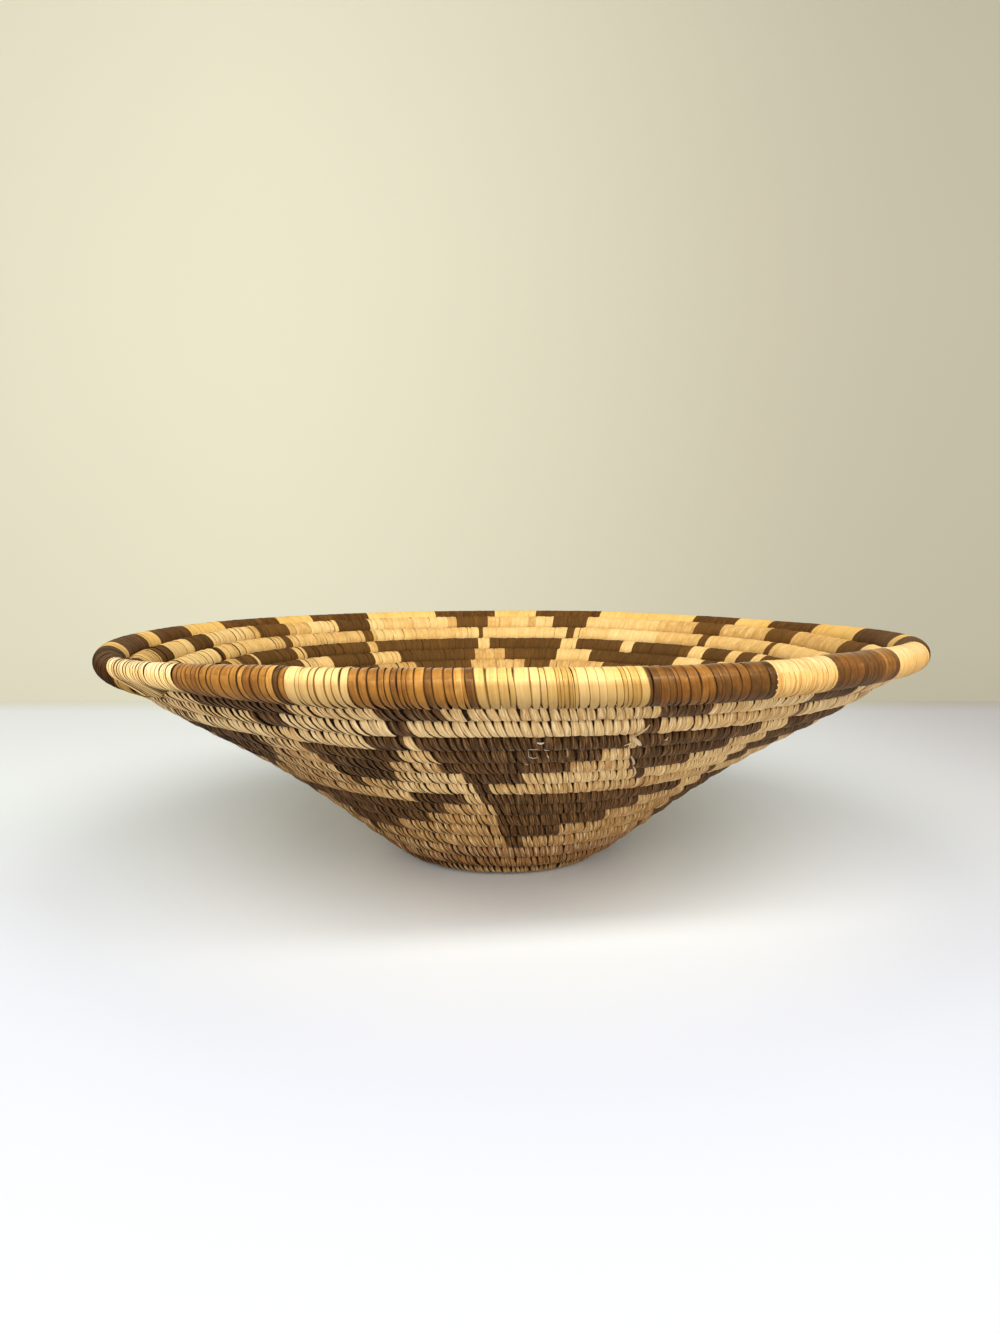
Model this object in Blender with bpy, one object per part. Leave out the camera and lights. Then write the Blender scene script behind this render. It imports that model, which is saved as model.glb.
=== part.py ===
# Coiled basket: a shallow flared bowl sewn from one long coil.
# Metres, +Z up. The origin is on the table, under the middle of the rim.
# The coil starts at the middle, winds clockwise seen from above, climbs the wall
# and ends in a tapered tip that lies on its own previous turn, at the rim.

import math

import bmesh
import bpy
import numpy as np

# Overall sizes
BASKET_DIAMETER = 0.280     # across the outside of the rim, at the middle of its turn
BASE_DIAMETER = 0.065       # flat part that stands on the table
BEND_RUN = 0.015            # radial run over which the flat base turns into the wall

# Slope of the wall in degrees from level, at equal steps from the base to the rim
WALL_SLOPES = (37.0, 40.5, 35.0, 30.6, 36.8)

# The coil
ROW_COIL = 0.0079           # diameter of a sewn row of the wall and the base
ROW_GAP = 0.0005            # space between neighbouring rows
FOOT_CUT = 0.1              # depth of the worn flat under the base, as a share of a row
START_RADIUS = 0.0048       # distance of the coil's start from the axis
START_DIAMETER = 0.0040     # the coil begins this thin
START_TURNS = 0.8           # turns over which the start swells to a full row

# The rim: the last turn, bound with flat strips of palm leaf
RIM_COIL = 0.0088           # diameter over the binding
RIM_LEAN = 26.9             # direction from the row below to the rim, degrees from level
STRIP_THICKNESS = 0.0006    # the binding is this thick
STRIP_CROWN = 0.00015       # the middle of a strip stands this far above its edges
STRIP_CLEARANCE = 0.0003    # between the binding and the bundle inside it
BINDING_GAP = 0.0003        # between one run of binding and the next
CORNER_CLEARANCE = 0.0012   # a run ends at least this far from a corner of the coil
JOIN_TURNS = 0.12           # turns over which the top row of the wall becomes the rim
TIP_ANGLE = -48.0           # where the coil ends, degrees, 0 is the front, + to the right
TIP_DIAMETER = 0.0058       # the tip is this thin over its binding
TIP_TURNS = 0.095           # turns over which the rim thins down to the tip

# Strips in each run of the rim binding, from the tip to the right: natural, then dark
RIM_RUNS = ((14, 14), (6, 11), (15, 13), (8, 13), (14, 13), (4, 16), (13, 12), (8, 10),
            (21, 14), (9, 13), (15, 13), (8, 14), (10, 11), (5, 13), (5, 18))
LAST_NATURAL_RUN = 4        # natural strips between the last dark run and the wall

# The knot that the coil is begun on
KNOT_HEIGHT = 0.0052
KNOT_SEAT = 0.00035         # from the knot to the coil's first turn
FIRST_TURN_REACH = 1.25     # turns of the coil that lie round the knot

# Worked out from the sizes above
ROW_PITCH = ROW_COIL + ROW_GAP
BASE_RADIUS = BASE_DIAMETER / 2
RIM_RADIUS = (BASKET_DIAMETER - RIM_COIL) / 2
RIM_LENGTH = 2 * math.pi * RIM_RADIUS
COIL_HEIGHT = ROW_COIL * (0.5 - FOOT_CUT)

# How finely the coil's line is worked out and built
TABLE_SAMPLES = 2000
POINTS_PER_TURN = 24


def smooth(share):
    """Runs from 0 to 1 with level ends."""
    share = np.clip(share, 0.0, 1.0)
    return share * share * (3.0 - 2.0 * share)


def running_sum(values, places):
    """Integral of values along places, by trapezia, starting at 0."""
    steps = (values[1:] + values[:-1]) / 2 * np.diff(places)
    return np.concatenate(([0.0], np.cumsum(steps)))


def rim_diameter(turns):
    """Diameter over the binding, at so many turns below the tip."""
    return TIP_DIAMETER + (RIM_COIL - TIP_DIAMETER) * smooth(turns / TIP_TURNS)


def rim_step(turns):
    """Distance from the row below to the middle of the rim."""
    return (ROW_COIL + rim_diameter(turns)) / 2 + ROW_GAP


class Profile:
    """Radius and height of the coil's centre line, counted in turns below the tip."""

    def __init__(self):
        lean = math.radians(RIM_LEAN)
        self.lean = np.array([math.cos(lean), math.sin(lean)])
        top_row = RIM_RADIUS - rim_step(0.5) * self.lean[0]
        radius = np.linspace(START_RADIUS, top_row + 2 * ROW_PITCH, TABLE_SAMPLES)
        share = (radius - BASE_RADIUS) / (top_row - BASE_RADIUS)
        stations = np.linspace(0.0, 1.0, len(WALL_SLOPES))
        wall = np.radians(np.interp(share, stations, WALL_SLOPES))
        slope = wall * smooth((radius - BASE_RADIUS) / BEND_RUN + 0.5)
        self.radius = radius
        self.length = running_sum(1.0 / np.cos(slope), radius)
        self.height = COIL_HEIGHT + running_sum(np.tan(slope), radius)
        # the rim's middle, half a turn below the tip, stands on the row at 1.5 turns
        self.length_at_tip = np.interp(top_row, radius, self.length) + 1.5 * ROW_PITCH
        self.turns = self.length_at_tip / ROW_PITCH
        # the spiral's own axis lies a little off the middle of its last turn
        self.middle = np.zeros(3)
        last_turn = np.arange(POINTS_PER_TURN) / POINTS_PER_TURN
        rim = self.point(last_turn)
        half = rim_diameter(last_turn)[:, None] / 2
        self.middle[:2] = ((rim - half).min(axis=0) + (rim + half).max(axis=0))[:2] / 2

    def wall_row(self, turns):
        length = self.length_at_tip - np.asarray(turns) * ROW_PITCH
        return np.stack((np.interp(length, self.length, self.radius),
                         np.interp(length, self.length, self.height)), axis=-1)

    def row(self, turns):
        """The wall's rows, the top one leaning over to the rim's place as it ends."""
        rim = self.wall_row(turns + 1.0) + rim_step(turns)[..., None] * self.lean
        share = smooth(1.0 - (turns - 1.0) / JOIN_TURNS)[..., None]
        return self.wall_row(turns) * (1.0 - share) + rim * share

    def centre(self, turns):
        """The wall's rows up to one turn below the tip, then the rim on top of them."""
        turns = np.asarray(turns, dtype=float)
        rim = self.row(turns + 1.0) + rim_step(turns)[..., None] * self.lean
        return np.where((turns < 1.0)[..., None], rim, self.row(turns))

    def point(self, turns):
        radius, height = np.moveaxis(self.centre(turns), -1, 0)
        angle = math.radians(TIP_ANGLE) + 2 * math.pi * np.asarray(turns)
        around = np.stack((radius * np.sin(angle), -radius * np.cos(angle), height), axis=-1)
        return around - self.middle

    def bundle_diameter(self, turns):
        """A full sewn row in the wall, thinner where the rim's strips are bound over it."""
        turns = np.asarray(turns, dtype=float)
        from_start = (self.turns - turns) / START_TURNS
        row = START_DIAMETER + (ROW_COIL - START_DIAMETER) * smooth(from_start)
        bound = rim_diameter(turns) - 2 * (STRIP_THICKNESS + STRIP_CLEARANCE)
        share = smooth(1.0 - (turns - 1.0) / JOIN_TURNS)
        return row * (1.0 - share) + bound * share


def clear_scene():
    for obj in list(bpy.data.objects):
        bpy.data.objects.remove(obj, do_unlink=True)


def new_collection(name):
    collection = bpy.data.collections.new(name)
    bpy.context.scene.collection.children.link(collection)
    return collection


def palm_material(name, color, roughness):
    material = bpy.data.materials.new(name)
    material.use_nodes = True
    shader = material.node_tree.nodes["Principled BSDF"]
    shader.inputs["Base Color"].default_value = (*color, 1.0)
    shader.inputs["Roughness"].default_value = roughness
    shader.inputs["Metallic"].default_value = 0.0
    return material


def tube(name, points, diameters, resolution, collection):
    """A closed round tube through the points, as a mesh with its caps welded."""
    curve = bpy.data.curves.new(name, "CURVE")
    curve.dimensions = "3D"
    curve.twist_mode = "Z_UP"
    curve.bevel_depth = 1.0
    curve.bevel_resolution = resolution
    curve.use_fill_caps = True
    spline = curve.splines.new("POLY")
    spline.points.add(len(points) - 1)
    for place, point, diameter in zip(spline.points, points, diameters):
        place.co = (*point, 1.0)
        place.radius = diameter / 2
    rough = bpy.data.objects.new(name + "_line", curve)
    collection.objects.link(rough)
    evaluated = rough.evaluated_get(bpy.context.evaluated_depsgraph_get())
    mesh = bpy.data.meshes.new_from_object(evaluated)
    solid = bpy.data.objects.new(name, mesh)
    solid.matrix_world = rough.matrix_world
    bpy.data.objects.remove(rough, do_unlink=True)
    collection.objects.link(solid)
    shape = bmesh.new()
    shape.from_mesh(mesh)
    bmesh.ops.remove_doubles(shape, verts=shape.verts, dist=0.00001)
    bmesh.ops.recalc_face_normals(shape, faces=shape.faces)
    shape.to_mesh(mesh)
    shape.free()
    mesh.shade_smooth()
    mesh.set_sharp_from_angle(angle=math.radians(50))
    return solid


def cut(solid, cutter):
    modifier = solid.modifiers.new("cut", "BOOLEAN")
    modifier.operation = "DIFFERENCE"
    modifier.solver = "EXACT"
    modifier.object = cutter
    cutter.hide_render = True
    cutter.display_type = "WIRE"


def table_top(collection):
    """A block whose upper face is the table, to cut the base flat."""
    bpy.ops.mesh.primitive_cube_add(size=1.0)
    block = bpy.context.active_object
    block.name = "table_top"
    for other in list(block.users_collection):
        other.objects.unlink(block)
    collection.objects.link(block)
    depth = ROW_COIL
    block.scale = (BASKET_DIAMETER, BASKET_DIAMETER, depth)
    block.location = (0.0, 0.0, -depth / 2)
    return block


def coil_turns(profile):
    """Places along the coil from its start to its tip, at whole steps from the tip."""
    steps = math.floor(profile.turns * POINTS_PER_TURN)
    return np.arange(steps, -1, -1) / POINTS_PER_TURN


def make_coil(profile, turns, parts, cutters):
    """The whole basket's foundation: one unbroken tube from the knot to the tip."""
    coil = tube("coil", profile.point(turns), profile.bundle_diameter(turns), 1, parts)
    cut(coil, table_top(cutters))
    coil.data.materials.append(palm_material("sewn_coil", (0.58, 0.44, 0.24), 0.75))
    return coil


def run_turns(first, last, turns):
    """The coil's own points between two places, with both ends, from low to high."""
    inner = turns[(turns > first) & (turns < last)]
    return np.concatenate(([first], np.sort(inner), [last]))


def strip_turns(first, last, strips):
    """The strips' edges and middles in turn, and how far each of these places is sunk."""
    places = np.linspace(first, last, 2 * strips + 1)
    sunk = np.zeros(len(places))
    sunk[::2] = STRIP_CROWN
    return places, sunk


def on_chords(values, places, turns):
    """Values between the coil's points, along its straight facets."""
    order = np.argsort(turns)
    columns = values[order].reshape(len(turns), -1)
    found = [np.interp(places, turns[order], column) for column in columns.T]
    return np.stack(found, axis=-1).reshape((len(places),) + values.shape[1:])


def make_run(name, first, last, strips, profile, turns, material, parts, cutters):
    """One run of rim binding: a sleeve with a rib for each strip, bored for the bundle in it."""
    line = profile.point(turns)
    places, sunk = strip_turns(first, last, strips)
    over_strips = on_chords(rim_diameter(turns), places, turns) - 2 * sunk
    sleeve = tube(name, on_chords(line, places, turns), over_strips, 2, parts)
    # the bore runs out past both ends of the sleeve, but not to the next corner
    past_end = CORNER_CLEARANCE / 2 / RIM_LENGTH
    places = run_turns(first - past_end, last + past_end, turns)
    bore_size = on_chords(profile.bundle_diameter(turns), places, turns) + 2 * STRIP_CLEARANCE
    bore = tube(name + "_bore", on_chords(line, places, turns), bore_size, 1, cutters)
    cut(sleeve, bore)
    sleeve.data.materials.append(material)
    return sleeve


def off_corner(place):
    """The place, in turns, moved off a corner of the coil that lies too near."""
    corner = round(place * POINTS_PER_TURN) / POINTS_PER_TURN
    reach = CORNER_CLEARANCE / RIM_LENGTH
    if abs(place - corner) < reach:
        place = corner + math.copysign(reach, place - corner)
    return place


def make_binding(profile, turns, parts, cutters):
    """Natural and dark runs in turn, from the tip round to where the rim begins."""
    natural = palm_material("natural_palm_leaf", (0.72, 0.55, 0.30), 0.45)
    dark = palm_material("dark_dyed_palm_leaf", (0.16, 0.08, 0.04), 0.5)
    runs = []
    for number, (natural_strips, dark_strips) in enumerate(RIM_RUNS, start=1):
        runs.append(("rim_natural_%02d" % number, natural_strips, natural))
        runs.append(("rim_dark_%02d" % number, dark_strips, dark))
    runs.append(("rim_natural_%02d" % (len(RIM_RUNS) + 1), LAST_NATURAL_RUN, natural))
    first = CORNER_CLEARANCE / RIM_LENGTH
    strip = (1.0 - 2 * first) / sum(strips for _, strips, _ in runs)
    half_gap = BINDING_GAP / 2 / RIM_LENGTH
    counted = 0
    for name, strips, material in runs:
        counted += strips
        last = off_corner(CORNER_CLEARANCE / RIM_LENGTH + counted * strip)
        make_run(name, first + half_gap, last - half_gap, strips, profile, turns, material,
                 parts, cutters)
        first = last


def make_knot(profile, turns, parts):
    """The knot of strip that the coil is begun on, as large as its first turn leaves room for."""
    first_turn = turns[turns > profile.turns - FIRST_TURN_REACH]
    line = profile.point(first_turn)
    start = line[0]
    across = line[POINTS_PER_TURN // 2]
    centre = (start + across) / 2
    centre += (start - across) * (1.0 - START_DIAMETER / ROW_COIL) / 4
    distance = np.linalg.norm(line - centre, axis=1) - profile.bundle_diameter(first_turn) / 2
    radius = distance.min() - KNOT_SEAT
    bpy.ops.mesh.primitive_uv_sphere_add(segments=16, ring_count=8, radius=radius)
    knot = bpy.context.active_object
    knot.name = "start_knot"
    for other in list(knot.users_collection):
        other.objects.unlink(knot)
    parts.objects.link(knot)
    knot.scale = (1.0, 1.0, KNOT_HEIGHT / (2 * radius))
    knot.location = centre
    knot.data.shade_smooth()
    knot.data.materials.append(palm_material("knot_palm_leaf", (0.55, 0.38, 0.19), 0.6))
    return knot


def least_gap(profile, turns):
    """Least space between the coil and its own other turns, on its points."""
    points = profile.point(turns)
    bound = np.where(turns < 1.0, rim_diameter(turns), 0.0)
    reach = np.maximum(profile.bundle_diameter(turns), bound) / 2
    gap = math.inf
    for index, point in enumerate(points):
        others = np.abs(turns - turns[index]) > 0.5
        if others.any():
            distance = np.linalg.norm(points[others] - point, axis=1)
            gap = min(gap, float((distance - reach[others] - reach[index]).min()))
    return gap


def main():
    clear_scene()
    parts = new_collection("coiled_basket")
    cutters = new_collection("cutters")
    profile = Profile()
    turns = coil_turns(profile)
    make_knot(profile, turns, parts)
    make_coil(profile, turns, parts, cutters)
    make_binding(profile, turns, parts, cutters)
    points = profile.point(turns)
    length = np.linalg.norm(np.diff(points, axis=0), axis=1).sum()
    print("turns of the coil: %.2f" % profile.turns)
    print("length of the coil: %.2f m" % length)
    print("height of the rim's middle: %.1f mm" % (profile.centre(np.array([0.5]))[0, 1] * 1000))
    print("least gap between turns: %.2f mm" % (least_gap(profile, turns) * 1000))


main()
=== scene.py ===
import math

import bpy
import numpy as np
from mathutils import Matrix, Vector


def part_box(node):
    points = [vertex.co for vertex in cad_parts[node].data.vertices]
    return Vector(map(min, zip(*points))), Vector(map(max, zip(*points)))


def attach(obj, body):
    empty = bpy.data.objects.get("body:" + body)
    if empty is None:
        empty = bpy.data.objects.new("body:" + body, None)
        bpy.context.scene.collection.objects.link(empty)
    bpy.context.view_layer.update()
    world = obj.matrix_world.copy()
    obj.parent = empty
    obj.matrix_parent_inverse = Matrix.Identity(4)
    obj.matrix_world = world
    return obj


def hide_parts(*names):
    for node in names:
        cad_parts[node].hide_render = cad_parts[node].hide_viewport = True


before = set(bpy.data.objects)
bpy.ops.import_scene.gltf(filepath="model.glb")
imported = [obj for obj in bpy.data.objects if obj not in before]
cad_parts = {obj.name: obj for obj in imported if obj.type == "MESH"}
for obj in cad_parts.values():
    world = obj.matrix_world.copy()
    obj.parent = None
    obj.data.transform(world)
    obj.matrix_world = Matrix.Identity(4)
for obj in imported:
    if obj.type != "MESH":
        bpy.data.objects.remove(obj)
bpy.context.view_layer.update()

# A coiled basket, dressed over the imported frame. Metres, +Z up, front towards -Y.
# Places along the coil are turns below the tip, angles are degrees from the front, + to the right.

# The coil's sizes are those of the solids, in metres, degrees and turns
coilSizes = {
    "basketDiameter": 0.280,
    "baseDiameter": 0.065,
    "bendRun": 0.015,
    "wallSlopes": (37.0, 40.5, 35.0, 30.6, 36.8),
    "rowCoil": 0.0079,
    "rowGap": 0.0005,
    "footCut": 0.1,
    "startRadius": 0.0048,
    "startDiameter": 0.0040,
    "startTurns": 0.8,
    "rimCoil": 0.0088,
    "rimLean": 26.9,
    "stripThickness": 0.0006,
    "stripClearance": 0.0003,
    "joinTurns": 0.12,
    "tipAngle": -48.0,
    "tipDiameter": 0.0058,
    "tipTurns": 0.095,
    "bindingEnd": 0.0012,
    "tableSamples": 2000,
    "pointsPerTurn": 24,
    "pastTip": 0.1,
    "levelStart": 0.95,
    "lineSamples": 9000,
    "countSamples": 40000,
}
# How the basket isn't quite true: its wave in millimetres by degrees from the front, and the rise of
# its rows at the back. The spans, each a start and a length, are in cosines, turns and metres.
handWork = {
    "waveAt": (-35, -22, -17, -10, 0, 18, 28, 36, 45, 75, 95, 113, 120, 138, 148, 158, 180, 200, 240, 270),
    "wave": (0, -0.3, -0.7, -0.4, 0, 0.1, 0.3, 0.8, 0.9, -0.2, -0.8, -1.2, -1.2, -0.6, -0.2, 0.4, 0.5, 0.7,
             0.9, 0.6),
    "backSpan": (0.0, 0.5), "backRise": 1.9, "rowsSpan": (1.0, 0.25), "outerSpan": (0.055, 0.055),
}
rimRuns = ((14, 14), (6, 11), (15, 13), (8, 13), (14, 13), (4, 16), (13, 12), (8, 10),
           (21, 14), (9, 13), (15, 13), (8, 14), (10, 11), (5, 13), (5, 18))  # natural, dark parts
lastNaturalRun = 4                     # the parts of the natural run that closes the rim


def smooth(share):                     # runs from 0 to 1 with level ends
    share = np.clip(share, 0.0, 1.0)
    return share * share * (3.0 - 2.0 * share)


def ramp(value, span):                 # the same, over a span given as its start and its length
    return smooth((value - span[0]) / span[1])


def runningSum(values, places):        # integral by trapezia, starting at 0
    steps = (values[1:] + values[:-1]) / 2 * np.diff(places)
    return np.concatenate(([0.0], np.cumsum(steps)))


# The coil's centre line. A profile of radius and height climbs the wall by its slopes, and the
# spiral moves along that profile by one row a turn. The last turn stands on the row below.
class CoilLine:
    def __init__(self, sizes):
        self.sizes = sizes
        self.pitch = sizes["rowCoil"] + sizes["rowGap"]
        baseRadius = sizes["baseDiameter"] / 2
        self.rimRadius = (sizes["basketDiameter"] - sizes["rimCoil"]) / 2
        lean = math.radians(sizes["rimLean"])
        self.lean = np.array([math.cos(lean), math.sin(lean)])
        topRow = self.rimRadius - self.rimStep(0.5) * self.lean[0]
        radius = np.linspace(sizes["startRadius"], topRow + 2 * self.pitch, sizes["tableSamples"])
        share = (radius - baseRadius) / (topRow - baseRadius)
        stations = np.linspace(0.0, 1.0, len(sizes["wallSlopes"]))
        wall = np.radians(np.interp(share, stations, sizes["wallSlopes"]))
        slope = wall * smooth((radius - baseRadius) / sizes["bendRun"] + 0.5)
        self.radius = radius
        self.length = runningSum(1.0 / np.cos(slope), radius)
        coilHeight = sizes["rowCoil"] * (0.5 - sizes["footCut"])
        self.height = coilHeight + runningSum(np.tan(slope), radius)
        # Halfway round the rim, the row under it is topRow in radius and 1.5 turns below the tip
        self.lengthAtTip = np.interp(topRow, radius, self.length) + 1.5 * self.pitch
        self.turns = self.lengthAtTip / self.pitch
        self.tabulate()
        self.middle = np.zeros(3)
        lastTurn = np.arange(sizes["pointsPerTurn"]) / sizes["pointsPerTurn"]
        rim = self.place(lastTurn, 0.0, 0.0)
        half = self.rimDiameter(lastTurn)[:, None] / 2
        self.middle[:2] = ((rim - half).min(axis=0) + (rim + half).max(axis=0))[:2] / 2

    def rimDiameter(self, turns):
        thin, full = self.sizes["tipDiameter"], self.sizes["rimCoil"]
        return thin + (full - thin) * smooth(turns / self.sizes["tipTurns"])

    def rimStep(self, turns):
        return (self.sizes["rowCoil"] + self.rimDiameter(turns)) / 2 + self.sizes["rowGap"]

    def wallRow(self, turns):
        length = self.lengthAtTip - turns * self.pitch
        return np.stack((np.interp(length, self.length, self.radius),
                         np.interp(length, self.length, self.height)), axis=-1)

    def joinShare(self, turns):
        return smooth(1.0 - (turns - 1.0) / self.sizes["joinTurns"])

    def row(self, turns):
        rim = self.wallRow(turns + 1.0) + self.rimStep(turns)[..., None] * self.lean
        share = self.joinShare(turns)[..., None]
        return self.wallRow(turns) * (1.0 - share) + rim * share

    def centre(self, turns):
        rim = self.row(turns + 1.0) + self.rimStep(turns)[..., None] * self.lean
        return np.where((turns < 1.0)[..., None], rim, self.row(turns))

    # Centre and wall direction at close steps, to read back by place. The first turn lies level.
    def tabulate(self):
        self.table = np.linspace(-self.sizes["pastTip"], self.turns, self.sizes["lineSamples"])
        self.tableCentre = self.centre(self.table)
        step = self.tableCentre - self.row(self.table + 1.0)
        step[self.table > self.turns - self.sizes["levelStart"]] = (1.0, 0.0)
        self.tableUp = step / np.linalg.norm(step, axis=1)[:, None]

    def read(self, column, turns):
        return np.interp(turns, self.table, column)

    def rowRadius(self, turns):
        return self.read(self.tableCentre[:, 0], turns)

    def angle(self, turns):            # radians from the front
        return math.radians(self.sizes["tipAngle"]) + 2 * math.pi * np.asarray(turns)

    # A point beside the centre line: up is away from the row below, out is towards the outside.
    # The basket isn't quite true: its edge waves, and at the back the rim sits lower on its row.
    def place(self, turns, up, out):
        upR, upZ = self.read(self.tableUp[:, 0], turns), self.read(self.tableUp[:, 1], turns)
        radius = self.rowRadius(turns) + up * upR + out * upZ
        height = self.read(self.tableCentre[:, 1], turns) + up * upZ - out * upR
        angle = self.angle(turns)
        wave = np.interp(np.degrees(angle), handWork["waveAt"], handWork["wave"], period=360)
        back = ramp(-np.cos(angle), handWork["backSpan"])
        rows = ramp(turns, handWork["rowsSpan"])
        outer = ramp(radius, handWork["outerSpan"])
        height = height + (wave + handWork["backRise"] * back * rows) * outer / 1000
        shape = np.stack((radius * np.sin(angle), -radius * np.cos(angle), height), axis=-1)
        return shape - self.middle

    def bundleDiameter(self, turns):
        sizes = self.sizes
        fromStart = smooth((self.turns - turns) / sizes["startTurns"])
        row = sizes["startDiameter"] + (sizes["rowCoil"] - sizes["startDiameter"]) * fromStart
        bound = self.rimDiameter(turns) - 2 * (sizes["stripThickness"] + sizes["stripClearance"])
        share = self.joinShare(turns)
        return row * (1.0 - share) + bound * share

    # Stretches of uneven length end to end, as their middle places and their widths in metres. Their
    # number up to a place is the integral of the coil's length over the usual width there.
    def stretches(self, first, last, usual, spread, dice):
        fine = np.linspace(first, last, self.sizes["countSamples"])
        number = runningSum(2 * math.pi * self.rowRadius(fine) / np.interp(fine, *usual), fine)
        width = np.exp(dice.normal(0.0, spread, int(number[-1])))
        width *= number[-1] / width.sum()
        places = np.interp(np.cumsum(width) - width / 2, number, fine)
        return places, width * np.interp(places, *usual)


line = CoilLine(coilSizes)
print("coil of %.2f turns, middle %s" % (line.turns, np.round(line.middle * 1000, 3)))


# Shader sums are written as Python expressions on this wrapper round a socket
class Term:
    def __init__(self, tree, socket):
        self.tree, self.socket = tree, socket

    def math(self, operation, *others):
        sockets = dict(enumerate((self,) + others))
        return addNode(self.tree, "ShaderNodeMath", {"operation": operation}, sockets)

    def flipped(self, operation, other):
        return addNode(self.tree, "ShaderNodeMath", {"operation": operation}, {0: other, 1: self})

    def __add__(self, other):
        return self.math("ADD", other)

    def __sub__(self, other):
        return self.math("SUBTRACT", other)

    def __mul__(self, other):
        return self.math("MULTIPLY", other)

    def __pow__(self, other):
        return self.math("POWER", other)

    def __rsub__(self, other):
        return self.flipped("SUBTRACT", other)

    __radd__, __rmul__ = __add__, __mul__

    def clamped(self):
        return self.math("MINIMUM", 1.0).math("MAXIMUM", 0.0)

    def axis(self, index):             # x, y or z of a vector
        return addNode(self.tree, "ShaderNodeSeparateXYZ", None, {0: self}, index)

    def between(self, low, high):      # 0 below low, 1 above high, eased
        settings = {"interpolation_type": "SMOOTHSTEP"}
        return addNode(self.tree, "ShaderNodeMapRange", settings,
                       {"Value": self, "From Min": low, "From Max": high})


# Adds a node: its settings first, then the values or links of its sockets. Gives an output as a Term
def addNode(tree, kind, settings=None, sockets=None, output=0):
    node = tree.nodes.new(kind)
    for name, value in (settings or {}).items():
        if name == "stops":
            elements = node.color_ramp.elements
            while len(elements) < len(value):
                elements.new(0.5)
            for element, (position, color) in zip(elements, value):
                element.position, element.color = position, (*color, 1.0)
        else:
            setattr(node, name, value)
    for name, value in (sockets or {}).items():
        if isinstance(value, Term):
            tree.links.new(value.socket, node.inputs[name])
        elif isinstance(value, tuple) and len(value) == 3 and node.inputs[name].type == "RGBA":
            node.inputs[name].default_value = (*value, 1.0)
        else:
            node.inputs[name].default_value = value
    return Term(tree, node.outputs[output])


def mixColors(tree, share, first, second, blend="MIX"):  # first at share 0, second at share 1
    settings = {"data_type": "RGBA", "blend_type": blend, "clamp_factor": True}
    return addNode(tree, "ShaderNodeMix", settings, {0: share, 6: first, 7: second}, 2)


def tinted(tree, color, tint):         # color times tint
    return mixColors(tree, 1.0, color, tint, "MULTIPLY")


def objectPlace(tree):                 # the point on the object, in metres
    return addNode(tree, "ShaderNodeTexCoord", None, None, 3)


def noise(tree, place, scale, detail, roughness=0.5):
    sockets = {"Vector": place, "Scale": scale, "Detail": detail, "Roughness": roughness}
    return addNode(tree, "ShaderNodeTexNoise", None, sockets)


def newMaterial(name):
    material = bpy.data.materials.new(name)
    material.use_nodes = True
    return material, material.node_tree, material.node_tree.nodes["Principled BSDF"]


def join(tree, term, socket):
    tree.links.new(term.socket, socket)


# A flat strip of palm leaf. Its colour is read from a ramp by its tone, and fibre lines, light and
# dark, run along it. It goes to the shade colour at both edges, by edge, and in the holes, by deep:
# painted shade, for the creases between strips and the holes they pass through. Calm, from 0 to 1,
# weakens lines and edges, as on the side towards the bowl. Low, from 0 to 1, marks where the look's
# low-side tint and a duller surface, by dull, are laid: on the rim that tint is painted shade below
# the lit top, on the wall it tints the inner side. Widen makes the painted dark edges wider.
leafGrain = {
    "seedOdd": 61.0, "seedTone": 17.0, "noiseRough": 0.55,
    "fibreDetail": 3.0, "fineDetail": 1.0, "blotDetail": 2.0,
    "fineAcross": 2.2, "fineAlong": 0.8, "fineShift": 5.0,
    "blotAcross": 0.5, "blotAlong": 0.30, "blotShift": 9.0, "blotTone": 0.5, "blotRough": 0.06,
    "lightSpan": (0.50, 0.66), "streakSpan": (0.50, 0.64), "lineSpan": (0.58, 0.68),
    "edgeRough": 0.6, "bumpDepth": 0.00025, "bumpFibre": 0.6, "bumpFine": 0.4,
}


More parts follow.
